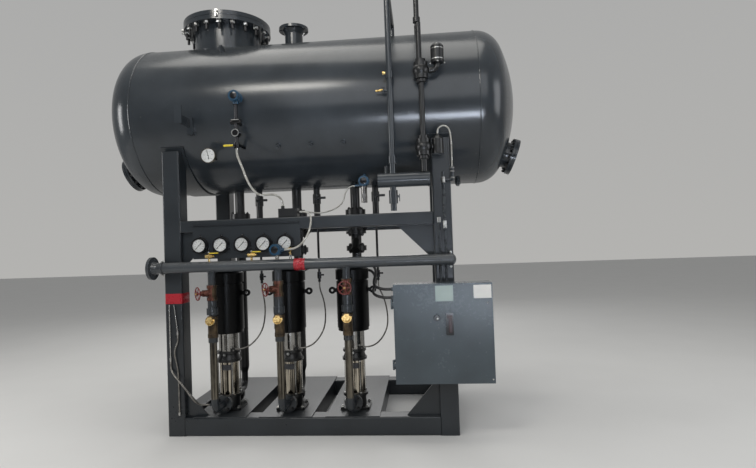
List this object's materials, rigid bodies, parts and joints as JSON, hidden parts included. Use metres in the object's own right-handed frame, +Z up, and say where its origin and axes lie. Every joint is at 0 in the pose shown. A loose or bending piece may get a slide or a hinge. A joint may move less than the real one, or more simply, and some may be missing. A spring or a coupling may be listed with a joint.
{
  "type": "boiler feedwater deaerator skid",
  "caption": "Horizontal dished feedwater tank on a square-tube frame, with vertical multistage pumps, discharge header, gauge board, level piping and a control enclosure.",
  "frame": {"origin": "middle of the frame's footprint on the floor, at the underside of a cross channel, below the tank's axis", "axes": "+X along the tank towards the level piping's end, -Y towards the side with headers and enclosure, +Z up"},
  "size_m": [3.8096, 1.576, 3.715],
  "materials": {
    "frame_paint": "semi-gloss",
    "black_paint": "semi-gloss",
    "slate_paint": "satin",
    "blue_paint": "gloss",
    "red_paint": "worn gloss",
    "stainless": "satin",
    "bronze": "cast, dull",
    "conduit": "ribbed, matte",
    "cable": "ribbed, semi-gloss"
  },
  "bodies": {
    "skid": {"column_front_left": "frame_paint", "column_front_right": "frame_paint", "rear_columns": "frame_paint", "base_front_beam": "frame_paint", "base_rear_beam": "frame_paint", "base_side_beams": "frame_paint", "mid_front_beam": "frame_paint", "mid_rear_beam": "frame_paint", "mid_side_beams": "frame_paint", "cross_channels": "frame_paint", "pump_plates": "frame_paint", "saddles": "frame_paint", "tank_shell": "frame_paint", "tank_head_left": "frame_paint", "tank_head_right": "frame_paint", "dome_neck": "frame_paint", "dome_cover": "frame_paint", "vent_nozzle": "frame_paint", "handholes": "frame_paint", "tank_fittings": "frame_paint", "pump_bases": "black_paint", "pump_sleeves": "stainless", "pump_heads": "black_paint", "pump_motors": "black_paint", "suction_drops": "black_paint", "bypass_lines": "black_paint", "riser_pipes": "frame_paint", "riser_valves": "bronze", "discharge_header": "frame_paint", "gauge_board": "frame_paint", "pressure_gauges": "black_paint", "small_cocks": "bronze", "header_transmitter": "blue_paint", "equalizer_pipe": "frame_paint", "float_column": "black_paint", "float_switches": "black_paint", "level_transmitter": "stainless", "tank_transmitter": "stainless", "tank_thermometer": "stainless", "junction_box": "black_paint", "rigid_conduits": "frame_paint", "enclosure_body": "slate_paint", "conduit_level": "conduit", "conduit_header": "conduit", "conduit_transmitter": "conduit", "conduit_float": "conduit", "vent_hose_left": "conduit", "vent_hose_middle": "conduit", "vent_hose_right": "conduit", "flush_hose": "conduit", "drain_hose": "conduit", "motor_cable_middle": "cable", "motor_cable_right": "cable"},
    "wheel_left": {"handwheel_left": "red_paint"},
    "wheel_middle": {"handwheel_middle": "red_paint"},
    "wheel_right": {"handwheel_right": "red_paint"},
    "door": {"enclosure_door": "slate_paint"}
  },
  "joints": [
    {"name": "wheel_left_turn", "type": "hinge", "parent": "skid", "child": "wheel_left", "pos_m": [-0.85885, -0.80485, 1.206], "axis": [-0.7071, -0.7071, 0], "continuous": true},
    {"name": "wheel_middle_turn", "type": "hinge", "parent": "skid", "child": "wheel_middle", "pos_m": [-0.29685, -0.80485, 1.226], "axis": [-0.7071, -0.7071, 0], "continuous": true},
    {"name": "wheel_right_turn", "type": "hinge", "parent": "skid", "child": "wheel_right", "pos_m": [0.35, -0.84, 1.226], "axis": [0, -1, 0], "continuous": true},
    {"name": "door_hinge", "type": "hinge", "parent": "skid", "child": "door", "pos_m": [0.716, -0.836, 0.853], "axis": [0, 0, -1], "range_deg": [0, 120]}
  ]
}
